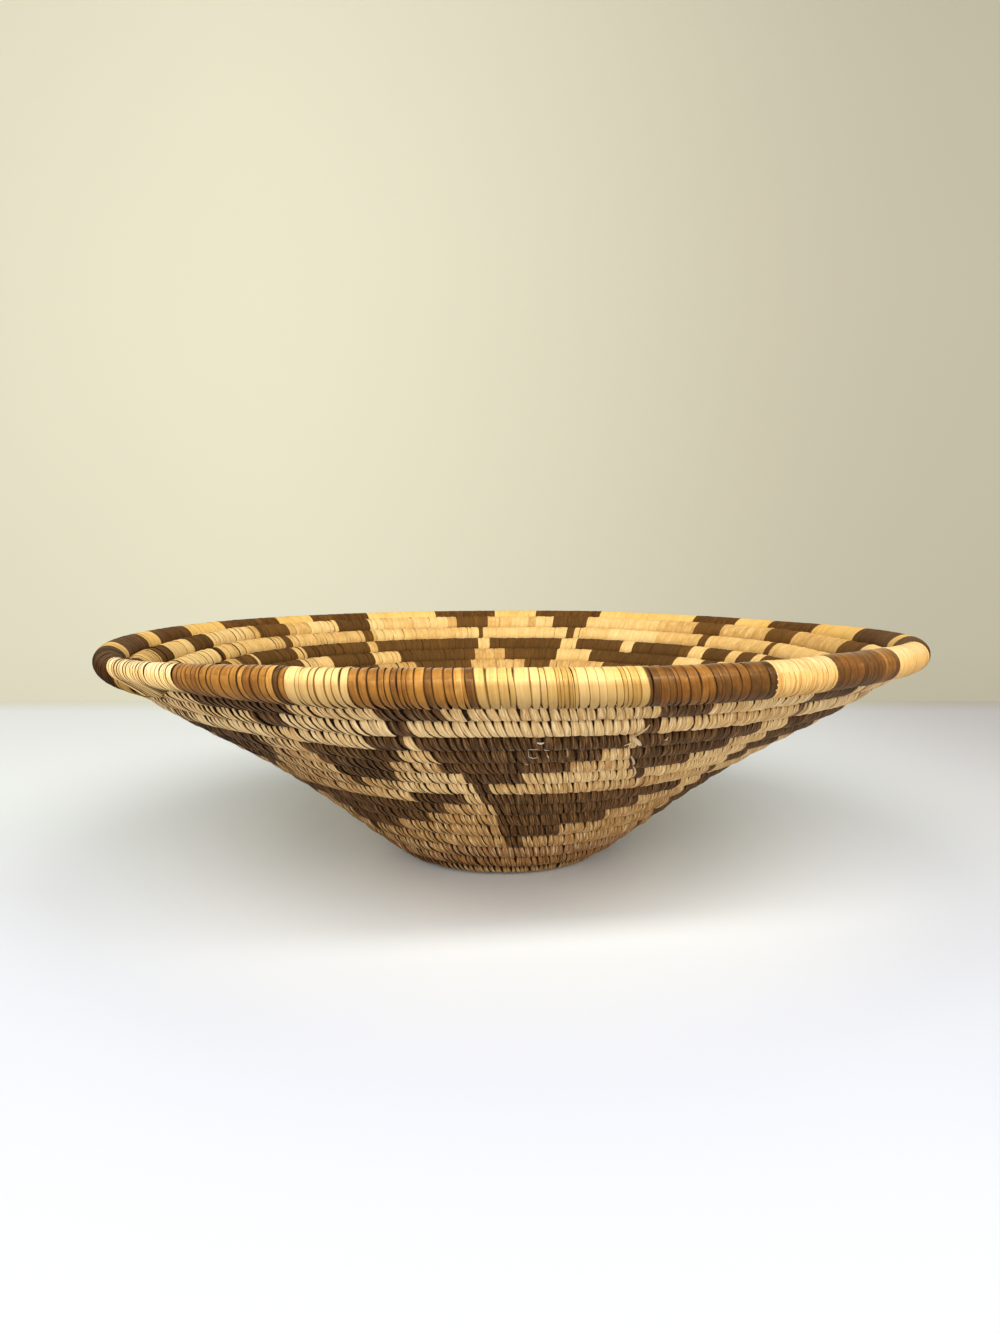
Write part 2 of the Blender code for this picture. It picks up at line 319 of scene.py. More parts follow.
def leafMaterial(name, look):
    material, tree, shader = newMaterial(name)
    uv = addNode(tree, "ShaderNodeUVMap", {"uv_map": "strip"})
    across, along = uv.axis(0), uv.axis(1)
    tone, odd, deep, calm, low, widen = (
        addNode(tree, "ShaderNodeAttribute", {"attribute_name": key}, None, 2)
        for key in ("tone", "odd", "deep", "calm", "low", "widen"))
    seed = odd * leafGrain["seedOdd"] + tone * leafGrain["seedTone"]
    busy = 1.0 - calm * look["calm"]

    def grain(acrossCount, alongCount, shift, detail):  # noise drawn out along the strip
        place = addNode(tree, "ShaderNodeCombineXYZ", None,
                        {0: across * acrossCount, 1: along * alongCount, 2: seed + shift})
        return noise(tree, place, 1.0, detail, leafGrain["noiseRough"])

    def crossed(color, share, over):   # the look's colour over, laid on by a share
        return mixColors(tree, share, color, look[over])

    fibre = grain(look["fibres"], look["fibreRun"], 0.0, leafGrain["fibreDetail"])
    fine = grain(look["fibres"] * leafGrain["fineAcross"], look["fibreRun"] * leafGrain["fineAlong"],
                 leafGrain["fineShift"], leafGrain["fineDetail"])
    blot = grain(leafGrain["blotAcross"], leafGrain["blotAlong"], leafGrain["blotShift"],
                 leafGrain["blotDetail"])
    shade = (tone + blot * leafGrain["blotTone"] - leafGrain["blotTone"] / 2).clamped()
    color = addNode(tree, "ShaderNodeValToRGB", {"stops": look["stops"]}, {0: shade})
    light = (1.0 - fibre).between(*leafGrain["lightSpan"])
    color = crossed(color, light * busy * look["light"], "lightColor")
    color = crossed(color, fibre.between(*leafGrain["streakSpan"]) * busy * look["streak"], "lineColor")
    color = crossed(color, fine.between(*leafGrain["lineSpan"]) * busy * look["line"], "lineColor")
    # Painted shade: each strip darkens towards the shade colour at its edges, for the shade in the creases
    # between strips
    edge = (across.math("ABSOLUTE") + widen).between(look["edgeFrom"], look["edgeTo"])
    # The low-side tint: on the rim, painted shade darker below the lit top; on the wall, a tint of the
    # inner side
    color = mixColors(tree, low, color, tinted(tree, color, look["worn"]))
    color = crossed(color, edge * busy * look["edge"], "shade")
    # Painted shade in the holes, where a strip goes under the row above or into the row below
    color = crossed(color, deep * look["hole"], "shade")
    join(tree, color, shader.inputs["Base Color"])
    rough = (look["rough"] + (fibre - 0.5) * look["uneven"] + blot * leafGrain["blotRough"]
             + edge * leafGrain["edgeRough"] + low * look["dull"])
    join(tree, rough.clamped(), shader.inputs["Roughness"])
    height = fibre * leafGrain["bumpFibre"] + fine * leafGrain["bumpFine"]
    bump = addNode(tree, "ShaderNodeBump", None,
                   {"Strength": look["bump"], "Distance": leafGrain["bumpDepth"], "Height": height})
    join(tree, bump, shader.inputs["Normal"])
    shader.inputs["Specular IOR Level"].default_value = look["specular"]
    shader.inputs["Specular Tint"].default_value = (*look["gleam"], 1.0)
    return material


leafCommon = {"fibres": 2.6, "fibreRun": 0.16, "rough": 0.60, "bump": 0.9, "calm": 0.85, "edgeTo": 1.0,
              "uneven": 0.3, "dull": 0.12}
rimCommon = {"fibres": 1.9, "fibreRun": 0.07, "uneven": 0.14, "dull": 0.5, "bump": 0.2, "line": 0.2,
             "hole": 0.8}
wallNatural = dict(
    leafCommon,
    stops=((0.0, (0.82, 0.63, 0.35)), (0.3, (0.725, 0.515, 0.247)), (0.65, (0.595, 0.368, 0.138)),
           (1.0, (0.35, 0.172, 0.047))),
    lightColor=(0.90, 0.73, 0.44), lineColor=(0.28, 0.135, 0.040), shade=(0.060, 0.026, 0.007),
    light=0.55, streak=0.4, line=0.6, edge=0.85, edgeFrom=0.74, hole=0.85, specular=0.12,
    gleam=(1.0, 0.9, 0.7), worn=(0.87, 0.87, 0.755))
wallDark = dict(
    leafCommon,
    stops=((0.0, (0.052, 0.024, 0.009)), (0.5, (0.086, 0.039, 0.0125)), (0.85, (0.128, 0.054, 0.015)),
           (1.0, (0.22, 0.074, 0.018))),
    lightColor=(0.26, 0.140, 0.056), lineColor=(0.022, 0.010, 0.004), shade=(0.007, 0.003, 0.001),
    light=0.7, streak=0.55, line=0.7, edge=0.92, edgeFrom=0.70, hole=0.9, specular=0.10,
    gleam=(1.0, 0.70, 0.40), worn=(1.0, 1.0, 0.72))
wallReddish = dict(
    wallDark, lightColor=(0.45, 0.258, 0.105),
    stops=((0.0, (0.17, 0.0812, 0.0284)), (0.6, (0.3, 0.134, 0.0446)), (1.0, (0.44, 0.229, 0.0891))))
wallTan = dict(
    wallNatural,
    stops=((0.0, (0.62, 0.401, 0.178)), (0.6, (0.46, 0.258, 0.105)), (1.0, (0.26, 0.115, 0.0405))))
# The rim looks' low-side tints are painted shade on the strips below the rim's lit top
rimNatural = dict(
    wallNatural, **rimCommon,
    stops=((0.0, (0.69, 0.465, 0.18)), (0.5, (0.58, 0.358, 0.10)), (0.8, (0.45, 0.240, 0.0446)),
           (1.0, (0.33, 0.152, 0.0243))),
    lightColor=(0.80, 0.573, 0.219), lineColor=(0.34, 0.181, 0.0365), shade=(0.11, 0.043, 0.00729),
    light=0.3, streak=0.2, edge=0.9, edgeTo=0.94, rough=0.12, specular=0.34,
    gleam=(1.0, 0.90, 0.58), worn=(0.63, 0.595, 0.57))
rimDark = dict(
    wallDark, **rimCommon,
    stops=((0.0, (0.031, 0.0115, 0.0024)), (0.25, (0.086, 0.0345, 0.0062)), (0.5, (0.205, 0.0765, 0.0103)),
           (0.75, (0.37, 0.167, 0.028)), (1.0, (0.60, 0.340, 0.083))),
    lightColor=(0.40, 0.205, 0.0446), lineColor=(0.050, 0.019, 0.0042), shade=(0.028, 0.0095, 0.0017),
    light=0.15, streak=0.3, edge=0.95, edgeTo=0.92, rough=0.11, specular=0.36,
    gleam=(1.0, 0.70, 0.38), worn=(0.72, 0.68, 0.62))
rimMatte = {"rough": 0.50, "uneven": 0.3, "specular": 0.10}
# The pale runs' low-side tint is painted too: it warms the lower side, where the bluish light off the table
# falls
rimPale = dict(wallNatural, worn=(1.05, 0.95, 0.72))
wallLooks = {"natural": (wallNatural, "natural_leaf"), "dark": (wallDark, "dark_leaf"),
             "tan": (wallTan, "natural_leaf"), "reddish": (wallReddish, "dark_leaf")}


def linked(name, data):                # a new object in the scene, from a mesh, a lamp or a camera
    thing = bpy.data.objects.new(name, data)
    bpy.context.scene.collection.objects.link(thing)
    return thing


def dress(name, mesh, material, replaced):
    mesh.materials.append(material)
    piece = linked(name, mesh)
    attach(piece, "root")
    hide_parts(replaced)


sharpAngle = 62.0                      # in degrees: a strip's edges are sharp, its curves aren't


# A dressed piece from whole arrays. Its points lie by band, by place on the outline and by place on
# the section, and each look's number is one for all, or one for each of some of those.
def newPiece(name, points, faces, strip, numbers, material, replaced):
    mesh = bpy.data.meshes.new(name)
    mesh.vertices.add(points.size // 3)
    mesh.vertices.foreach_set("co", points.astype(np.float32).ravel())
    mesh.loops.add(faces.size)
    mesh.loops.foreach_set("vertex_index", faces.astype(np.int32).ravel())
    mesh.polygons.add(len(faces))
    mesh.polygons.foreach_set("loop_start", np.arange(len(faces), dtype=np.int32) * faces.shape[1])
    mesh.update(calc_edges=True)
    layer = mesh.uv_layers.new(name="strip")
    layer.data.foreach_set("uv", strip.astype(np.float32).ravel())
    for key, values in numbers.items():
        attribute = mesh.attributes.new(key, "FLOAT", "POINT")
        attribute.data.foreach_set(
            "value", np.broadcast_to(values, points.shape[:-1]).astype(np.float32).ravel())
    mesh.shade_smooth()
    mesh.set_sharp_from_angle(angle=math.radians(sharpAngle))
    dress(name, mesh, material, replaced)


def perBand(values):                   # one number for each band, as newPiece takes it
    return np.asarray(values)[:, None, None]


def ringAngles(around):                # evenly round, starting at 0
    return 2 * math.pi * np.arange(around) / around


# An outline by degrees from the top, round over the outer side. Folded, both sides end at 180
def outline(around):
    angle = ringAngles(around)
    degrees = np.degrees(angle)
    outer = degrees <= 180.0
    return angle, degrees, np.where(outer, degrees, 360.0 - degrees), outer


# Above its middle the outline is half a circle. Below, its height and width are the circle's with
# their cosine and sine raised to a power under 1, so that its sides hang straighter down to reach.
def hangingOutline(angle, half, reach, upPower, outPower):
    cosine, sine = np.cos(angle), np.sin(angle)
    up = np.where(cosine > 0, half * cosine, -reach * np.abs(cosine) ** upPower)
    out = np.where(cosine > 0, half * sine, half * np.sign(sine) * np.abs(sine) ** outPower)
    return up, out


phaseRange = 6.3                       # about a full circle, in radians


# How far strips stray sideways: a sine with so many waves round the outline, of random height
def strayWave(count, spread, waves, angle, dice):
    height = dice.normal(0.0, spread, (count, 1))
    return height * np.sin(waves * angle + dice.uniform(0, phaseRange, (count, 1)))


# Closed bands round the coil, one for each place. A band's outline goes round the coil in the
# plane of up and out, its section goes across the strip, and both close. Sideways moves a point of
# the outline along the coil, towards the tip, and lift moves it out, square to the outline.
def bandPoints(places, up, out, halfWidth, sideways, across, lift):
    alongUp = np.roll(up, -1, axis=1) - np.roll(up, 1, axis=1)
    alongOut = np.roll(out, -1, axis=1) - np.roll(out, 1, axis=1)
    size = np.hypot(alongUp, alongOut)
    normalUp, normalOut = alongOut / size, -alongUp / size
    up3 = up[:, :, None] + normalUp[:, :, None] * lift
    out3 = out[:, :, None] + normalOut[:, :, None] * lift
    move = sideways[:, :, None] + halfWidth[:, :, None] * across[None, None, :]
    radius = line.rowRadius(places)[:, None, None]
    turns = places[:, None, None] - move / (2 * math.pi * radius)
    return line.place(turns, up3, out3)


def repeated(corners, count, size):    # the same faces for each of so many pieces of size points
    return (corners[None] + (np.arange(count) * size)[:, None, None]).reshape(-1, 4)


# A face joins points m and m + 1 of section k to those of section k + 1. Each section closes, and
# where the outline closes too, the section after the last is the first.
def bandFaces(count, around, section, closed=True):
    k, m = np.meshgrid(np.arange(around if closed else around - 1), np.arange(section), indexing="ij")
    nextK, nextM = (k + 1) % around, (m + 1) % section
    corners = np.stack((k * section + m, k * section + nextM,
                        nextK * section + nextM, nextK * section + m), axis=-1).reshape(-1, 4)
    return repeated(corners, count, around * section)


def bandStrip(up, out, across):        # across the strip, and millimetres along it
    (count, around), section = up.shape, len(across)
    step = np.hypot(np.roll(up, -1, axis=1) - up, np.roll(out, -1, axis=1) - out) * 1000
    run = np.concatenate((np.zeros((count, 1)), np.cumsum(step, axis=1)), axis=1)
    side = np.concatenate((across, across[:1]))
    k, m = np.meshgrid(np.arange(around), np.arange(section), indexing="ij")
    u = np.stack((side[m], side[m + 1], side[m + 1], side[m]), axis=-1).reshape(-1)
    kCorner = np.stack((k, k, k + 1, k + 1), axis=-1).reshape(-1)
    return np.stack((np.broadcast_to(u, (count, len(u))), run[:, kCorner]), axis=-1)


# A tone that stays the same over one length of leaf, since a strip makes a dozen stitches, and a tone
# of the stitch's own, added up by their shares
def lengthTones(count, stitches, shares, dice):
    cuts = dice.random(count) < 1.0 / stitches
    lengths = dice.random(cuts.sum() + 1)[np.cumsum(cuts)]
    return shares[0] * lengths + shares[1] * dice.random(count)


# The figures, as the angles between which each row is dark. The first rows belong to the rim.
rimFigures = (
    ((-32.9, -19.6), (-34.3, -22.3), (-29.0, -24.8)),
    ((-13.6, -2.3), (-12.7, -6.4), (-12.0, -10.3)),
    ((12.9, 26.2), (15.2, 21.2), (15.3, 16.9)),
    ((34.5, 47.5), (35.2, 45.0), (37.4, 38.3)),
    ((59.0, 76.0), (60.5, 71.5), (61.8, 64.2)),
    ((81.0, 97.5), (82.5, 93.0), (84.0, 86.4)),
    ((107.8, 120.3), (109.0, 116.5), (110.8, 112.6)),
    ((127.2, 138.2), (128.2, 135.2), (130.2, 131.9)),
    ((158.4, 173.3), (160.6, 168.8), (163.1, 164.8)),
    ((181.9, 194.7), (183.6, 191.4), (185.0, 186.4)),
    ((210.1, 223.2), (211.3, 219.6), (212.6, 214.4)),
    ((231.3, 247.6), (231.8, 240.1), (233.6, 236.0)),
    ((253.0, 265.0), (254.4, 260.8), (255.5, 257.4)),
    ((269.0, 281.0), (270.4, 276.8), (271.6, 273.4)),
    ((287.0, 306.0), (288.4, 300.5), (290.0, 292.8)),
)
middleFigures = (
    ((-27.5, -11.3), (-27.8, -13.6), (-26.8, -17.0), (-26.9, -24.8)),
    ((-10.0, 14.6), (-8.6, 12.8), (-8.4, 9.2), (-5.4, 3.4), (-4.9, -2.4)),
    ((16.2, 34.8), (16.6, 32.1), (18.2, 28.4), (21.1, 22.9)),
    ((40.1, 60.2), (40.3, 56.5), (40.8, 51.5), (42.0, 47.5), (42.6, 44.4)),
    ((64.6, 82.6), (65.5, 79.4), (66.8, 75.0), (68.2, 70.4)),
    ((86.8, 109.6), (88.0, 105.5), (89.6, 101.0), (91.0, 95.4)),
    ((112.8, 117.8), (113.6, 116.2)),
    ((120.4, 127.6), (121.0, 125.8), (122.0, 123.4)),
    ((132.0, 147.6), (133.0, 157.0), (141.2, 152.7), (143.6, 148.0), (144.4, 145.8)),
    ((149.9, 161.9),),
    ((165.0, 184.0), (165.6, 180.0), (167.4, 174.3), (168.8, 170.8)),
    ((186.2, 212.4), (187.3, 208.4), (189.2, 204.9), (191.0, 199.0), (192.2, 194.2)),
    ((214.6, 233.1), (215.4, 227.6), (215.8, 222.8), (217.0, 219.0)),
    ((236.0, 254.6), (236.8, 249.6), (238.2, 244.8), (239.4, 241.2)),
    ((257.6, 270.6), (258.6, 267.0), (260.0, 262.6)),
    ((273.6, 289.2), (274.6, 285.4), (276.0, 281.0), (277.2, 278.8)),
    ((293.0, 303.2), (294.0, 300.6), (295.4, 297.2)),
    ((305.0, 324.6), (305.6, 323.4), (307.0, 319.0), (309.5, 312.5)),
)
lowerFigure = ((0.0, 43.6), (1.5, 35.2), (2.3, 29.2), (3.8, 19.8), (5.7, 9.4))
lowerStarts = (-3.8, 46.6, 92.0, 136.5, 180.5, 224.0, 267.5)
lowerLast = ((310.0, 353.2), (311.0, 347.9), (312.0, 330.4), (313.0, 317.5))
lowerFigures = tuple(tuple((start + low, start + high) for low, high in lowerFigure)
                     for start in lowerStarts) + (lowerLast,)
tiers = {                              # first place of each tier, in turns below the tip
    "rim": {"from": 0.0, "figures": rimFigures},
    "middle": {"from": 3.088, "figures": middleFigures},
    "lower": {"from": 8.083, "figures": lowerFigures},
}
bandFrom, bandTo = 14.08, 15.06        # the reddish row near the base
tanFrom = 13.08


# Whether a place is dark: its row of its tier is dark between the angles of one of the figures
def darkHere(places):
    angle = np.degrees(line.angle(places)) % 360.0
    dark = np.zeros(len(places), dtype=bool)
    firsts = [tier["from"] for tier in tiers.values()] + [tanFrom]
    for tier, last in zip(tiers.values(), firsts[1:]):
        row = np.floor(places - tier["from"]).astype(int)
        here = (places >= tier["from"]) & (places < last)
        for figure in tier["figures"]:
            for step, (low, high) in enumerate(figure):
                dark |= here & (row == step) & ((angle - low) % 360.0 < high - low)
    return dark


# The stitches of the wall and the base. Each goes over its own row and down through the row below,
# into the nearest hole between two of that row's stitches. A span is a start and a length, and what
# is named for two sides has the outer one first. From the top to topTo a stitch is a share top of
# its width, and from fullFrom on it is full: lower by underRim on the row under the rim. A stitch is
# browner row by row towards the base, and more so at the left of the lower rows: painted shade, of
# the lower wall that faces down and of its dimmer left side. Dyed strips take little of it.
stitch = {
    "seed": 11, "first": 1.002, "beforeStart": 0.01, "around": 15, "spread": 0.13,
    "everyAt": (1.0, 2.9, 3.1, 5.0, 5.6), "every": (0.00215, 0.00205, 0.0019, 0.0018, 0.00155),
    "reach": 0.0054, "upPower": 0.8, "outPower": 0.75, "sizeSpread": 0.012,
    "section": (-1.0, -0.4, 0.45, 1.0, 0.0),
    "lift": (0.00002, 0.00009, 0.00002, -0.00018, -0.00052), "liftSpread": 0.00005,
    "tiltSpread": 0.00007, "wave": 0.00010, "waveCount": 2,
    "wide": 1.08, "inside": 1.10, "foot": 0.60, "footRuns": (24.0, 10.0),
    "top": 0.50, "topSpread": 0.07, "topLimits": (0.35, 0.9), "topTo": 26.0,
    "fullFrom": 64.0, "fullSpread": 8.0, "underRim": 22.0, "underRimTo": 2.05,
    "slant": 0.0021, "slantSpread": 0.08, "outerSpan": (15.0, 150.0), "innerSpan": (140.0, 30.0),
    "footReach": 0.0011, "footPull": 0.8, "flat": 0.0005,
    "topHole": 15.0, "topHoleRuns": (30.0, 20.0), "footHoles": (158.0, 166.0), "footHoleRun": 14.0,
    "rowShadeAt": (1.0, 2.9, 3.1, 8.0, 10.5, 13.0), "rowShade": (0.17, 0.17, 0.24, 0.34, 0.64, 0.88),
    "dyedRowShade": 0.12, "leftShade": 0.24, "leftShadeSpan": (18.0, 16.0), "leftShadeTo": 100.0, "leftShadeRows": (3.0, 2.0),
    "tones": (0.75, 0.25), "toneStitches": 12, "toneFrom": 0.16, "toneRun": 0.5,
    "odds": (0.7, 0.3), "oddStitches": 9, "stray": 0.002,
}


# What the table would cut is pressed flat: a height z below flat becomes flat * exp(z / flat - 1)
def settled(points):
    flat, z = stitch["flat"], points[..., 2]
    points[..., 2] = np.where(z < flat, flat * np.exp(np.minimum(z - flat, 0.0) / flat), z)
    return points


# How far along the row a stitch's foot moves to its hole. The holes of the row below lie halfway
# between the upper ends of its stitches.
def footShift(places, slant, toTurns):
    tops = np.sort(places - slant * toTurns)
    holes = (tops[1:] + tops[:-1]) / 2
    aim = np.clip(places + 1.0, holes[0], holes[-1])
    near = np.clip(np.searchsorted(holes, aim), 1, len(holes) - 1)
    near = np.where(np.abs(holes[near] - aim) < np.abs(holes[near - 1] - aim), near, near - 1)
    foot = -(holes[near] - (places + 1.0)) / toTurns * (places + 1.0 < line.turns)
    return np.clip(foot, -stitch["footReach"], stitch["footReach"]) * stitch["footPull"]


# The stitches' points and strip maps, and the places of their middles. Going down, a stitch moves
# from its slant to its foot: on the outer side half evenly and half eased, inside near its foot.
def stitchBands(places, width, dice):
    count = len(places)
    toTurns = 1.0 / (2 * math.pi * line.rowRadius(places))
    angle, _, folded, outer = outline(stitch["around"])
    up, out = hangingOutline(angle, coilSizes["rowCoil"] / 2, stitch["reach"], stitch["upPower"],
                             stitch["outPower"])
    scale = line.bundleDiameter(places) / coilSizes["rowCoil"]
    scale = scale * (1.0 + dice.normal(0.0, stitch["sizeSpread"], count))
    top = np.clip(dice.normal(stitch["top"], stitch["topSpread"], (count, 1)), *stitch["topLimits"])
    fullFrom = dice.normal(stitch["fullFrom"], stitch["fullSpread"], (count, 1))
    fullFrom += stitch["underRim"] * (places < stitch["underRimTo"])[:, None]
    full = np.clip((folded[None] - stitch["topTo"]) / (fullFrom - stitch["topTo"]), 0, 1)
    share = np.where(outer[None], top + (1.0 - top) * full, stitch["inside"])
    runs = np.where(outer, *stitch["footRuns"])
    footShare = stitch["foot"] + (1.0 - stitch["foot"]) * smooth((180.0 - folded) / runs)
    halfWidth = stitch["wide"] * width[:, None] / 2 * share * footShare
    slant = stitch["slant"] * (1.0 + dice.normal(0.0, stitch["slantSpread"], count))
    foot = footShift(places, slant, toTurns)
    even = np.clip((folded - stitch["outerSpan"][0]) / stitch["outerSpan"][1], 0, 1)
    down = np.where(outer, smooth(even) * 0.5 + 0.5 * even, ramp(folded, stitch["innerSpan"]))
    wave = strayWave(count, stitch["wave"], stitch["waveCount"], angle, dice)
    sideways = slant[:, None] * (1.0 - down) + foot[:, None] * down + wave
    across = np.array(stitch["section"])
    lift = np.array(stitch["lift"]) + dice.normal(0.0, stitch["liftSpread"], (count, 1, 1))
    tilt = dice.normal(0.0, stitch["tiltSpread"], (count, 1, 1)) * across
    points = bandPoints(places, up[None] * scale[:, None], out[None] * scale[:, None],
                        halfWidth, sideways, across, lift + tilt)
    strip = bandStrip(np.broadcast_to(up, (count, len(up))), np.broadcast_to(out, (count, len(up))), across)
    return settled(points), strip, places - slant * 0.5 * toTurns


# A tone from toneFrom over toneRun, plus the painted shade of its row and of the left of the lower
# rows, and the number odd, which sets the grain
def stitchTones(places, dyed, dice):
    tone = lengthTones(len(places), stitch["toneStitches"], stitch["tones"], dice)
    fromFront = (np.degrees(line.angle(places)) + 180.0) % 360.0 - 180.0
    left = ramp(-fromFront, stitch["leftShadeSpan"]) * (fromFront > -stitch["leftShadeTo"])
    # Painted shade: browner row by row towards the base, where the wall faces down, and at the left of the
    # lower rows
    rowShade = np.interp(places, stitch["rowShadeAt"], stitch["rowShade"])
    rowShade = rowShade + stitch["leftShade"] * left * ramp(places, stitch["leftShadeRows"])
    rowShade = rowShade * np.where(dyed, stitch["dyedRowShade"], 1.0)
    tone = np.clip(stitch["toneFrom"] + tone * stitch["toneRun"] + rowShade, 0, 1)
    return tone, np.clip(lengthTones(len(places), stitch["oddStitches"], stitch["odds"], dice), 0, 1)


def sewWall():
    dice = np.random.default_rng(stitch["seed"])
    places, width = line.stretches(stitch["first"], line.turns - stitch["beforeStart"],
                                   (stitch["everyAt"], stitch["every"]), stitch["spread"], dice)
    points, strip, middles = stitchBands(places, width, dice)
    dark, band = darkHere(middles), (places >= bandFrom) & (places < bandTo)
    tan = (places >= tanFrom) & (places < bandFrom)
    tone, odd = stitchTones(places, dark | band, dice)
    dark &= dice.random(len(places)) >= stitch["stray"]
    groups = {}
    edges = (0.0, tiers["middle"]["from"], tiers["lower"]["from"], tanFrom, line.turns)
    for tier, first, last in zip(("upper", "middle", "lower", "base"), edges, edges[1:]):
        here = (places >= first) & (places < last)
        groups["natural_stitches_" + tier] = here & ~dark & ~band & ~tan
        groups["dark_stitches_" + tier] = here & dark
    groups["tan_stitches"], groups["reddish_stitches"] = tan, band
    around, section = stitch["around"], len(stitch["section"])
    _, _, folded, outer = outline(around)
    # Painted shade: a stitch darkens at its top, under the row above, and at its foot, where it goes into
    # the row below
    topHole = 1.0 - smooth((folded - stitch["topHole"]) / np.where(outer, *stitch["topHoleRuns"]))
    footHole = smooth((folded - np.where(outer, *stitch["footHoles"])) / stitch["footHoleRun"])
    hole, inner = np.maximum(topHole, footHole)[:, None], np.where(outer, 0.0, 1.0)[:, None]
    leaves = {kind: leafMaterial(kind + "_wall_leaf", look) for kind, (look, _) in wallLooks.items()}
    for name, chosen in groups.items():
        if not chosen.any():
            continue
        index = np.nonzero(chosen)[0]
        kind = name.split("_")[0]
        numbers = {"tone": perBand(tone[index]), "odd": perBand(odd[index]), "deep": hole, "calm": inner,
                   "low": inner}
        newPiece(name, points[index], bandFaces(len(index), around, section), strip[index], numbers,
                 leaves[kind], "coil")
        print("%s: %d stitches" % (name, len(index)))


sewWall()


# The rim's binding. Strips lie side by side round the last turn, each with one edge over the next,
# and near the tip, by wrap, they go round the row below as well. What changes along the rim has its
# places in At, in degrees from the front. Slant is how far a strip moves along the rim from the top
# of what is seen to its lower edge, since the maker drew the last strips on at a slant, and shift
# moves it towards the tip, both in millimetres. Loose opens slits between the strips on the outer
# side, widen makes their dark edges wider, and calm lays them flatter. Most spans are in degrees
# from the top.
binding = {
    "seed": 23, "around": 24, "reach": 0.0012, "wide": 1.08, "widthSpread": 0.22, "perPart": 1.5,
    "looseAt": (-48.0, -34.0, -20.0, -5.0, 12.0, 25.0, 60.0),
    "loose": (0.06, 0.14, 0.14, 0.10, 0.12, 0.03, 0.02),
    "slantAt": (-48, -33, -29, -24, -21, -18.5, -13.5, -8, -2, 0, 12, 17, 20, 23, 27, 60, 300, 312),
    "slant": (5.0, 4.6, 3.5, 3.0, 2.6, 2.2, 2.4, 2.0, 1.9, 1.3, 1.2, 2.2, 1.8, 0.9, 0.6, 0.6, 0.6, 3.0),
    # Widen: wider dark edges, painted shade between the strips
    "widenAt": (-48.0, -36.0, -32.0, -20.0, -12.0, 0.0), "widen": (0.12, 0.10, 0.06, 0.04, 0.06, 0.0),
    "shiftAt": (-48, -41, -34, -26, -20, -13, 0, 18, 27, 36, 48, 60, 290, 303, 309, 312),
    "shift": (-4.1, -2.6, -1.2, -0.3, 0.4, -0.1, 0.0, 0.0, -0.5, -0.5, 0.9, 0.0, 0.0, -3.0, -4.6, -4.6),
    "calmAt": (-48, 18, 27, 44, 60, 290, 312), "calm": (0.0, 0.0, 0.4, 0.5, 1.0, 1.0, 0.3),
    "section": (-1.0, -0.45, 0.5, 1.0, 0.0),
    "lift": (0.00002, 0.00005, 0.00001, -0.00007, -0.00050),
    "liftSpread": 0.00004, "tiltSpread": 0.00005, "sizeSpread": 0.006,
    "waves": (0.00008, 0.00006), "waveCounts": (1, 3),
    "wrapSpan": (0.012, 0.016), "seenFrom": -71.0, "driftAbove": 0.8, "driftBelow": 0.2,
    "driftPower": 1.5, "under": 0.00004, "power": 0.85,
    "overRow": 0.0001, "sideSpan": (90.0, 45.0), "looseMost": 2.0, "slantSpread": 0.07,
    "slitOpens": (52.0, 40.0), "slitCloses": (122.0, 26.0), "footInner": 0.15, "footMore": 0.30,
    "footSpan": (150.0, 30.0), "taper": (0.15, 0.40), "taperSpan": (66.0, 46.0), "lying": 0.75,
    "holeSpan": (150.0, 25.0), "calmInside": (200.0, 280.0), "paintedShadeSpan": (-10.0, 24.0),
    "widenSpread": 0.06, "toneSpread": 0.06, "tones": (0.6, 0.4), "toneStrips": 5,
    "pale": ("rim_natural_01", "rim_natural_04", "rim_natural_05"),
}
# The strips in front, from left to right: widths in tenths of a degree, and tones in hundredths
frontStrips = {
    "rim_natural_01": ((6, 7, 6, 6, 7, 6, 7, 5, 6, 5, 6, 7, 6, 5, 7, 6, 8, 9, 9, 7, 5, 9),
                       (24, 14, 28, 18, 32, 14, 22, 34, 16, 28, 12, 26, 20, 36, 14, 22, 12, 18, 10, 22, 32,
                        14)),
    "rim_dark_01": ((8, 8, 6, 7, 7, 5, 10, 7, 11, 12, 9, 7, 9, 10, 8, 8, 5, 6),
                    (60, 60, 62, 58, 55, 60, 68, 66, 70, 70, 71, 75, 50, 58, 70, 86, 16, 58)),
    "rim_natural_02": ((11, 4, 10, 6, 11, 7, 8, 8), (5, 25, 8, 22, 8, 22, 10, 5)),
    "rim_dark_02": ((10, 9, 10, 6, 6, 6, 4, 5, 7, 10, 8, 11, 9, 7, 4, 8),
                    (60, 64, 64, 60, 70, 46, 60, 56, 68, 74, 36, 68, 62, 86, 68, 30)),
    "rim_natural_03": ((10, 10, 9, 5, 14, 9, 6, 9, 3, 3, 5, 3, 2, 3, 10, 9, 8, 8, 7, 4, 4, 8, 8),
                       (50, 45, 50, 45, 15, 10, 30, 38, 78, 66, 80, 72, 60, 50, 5, 12, 15, 30, 40, 70, 45,
                        75, 40)),
    "rim_dark_03": ((5, 7, 9, 8, 5, 9, 12, 8, 7, 6, 3, 7, 11, 10, 12, 11, 9),
                    (15, 27, 40, 30, 42, 52, 50, 57, 50, 27, 36, 29, 35, 45, 30, 31, 11)),
    "rim_dark_04": ((8, 9, 10, 12, 5, 5, 6, 7, 6, 7, 5, 9, 9, 9),
                    (32, 36, 38, 42, 30, 34, 38, 32, 34, 34, 76, 54, 52, 34)),
}
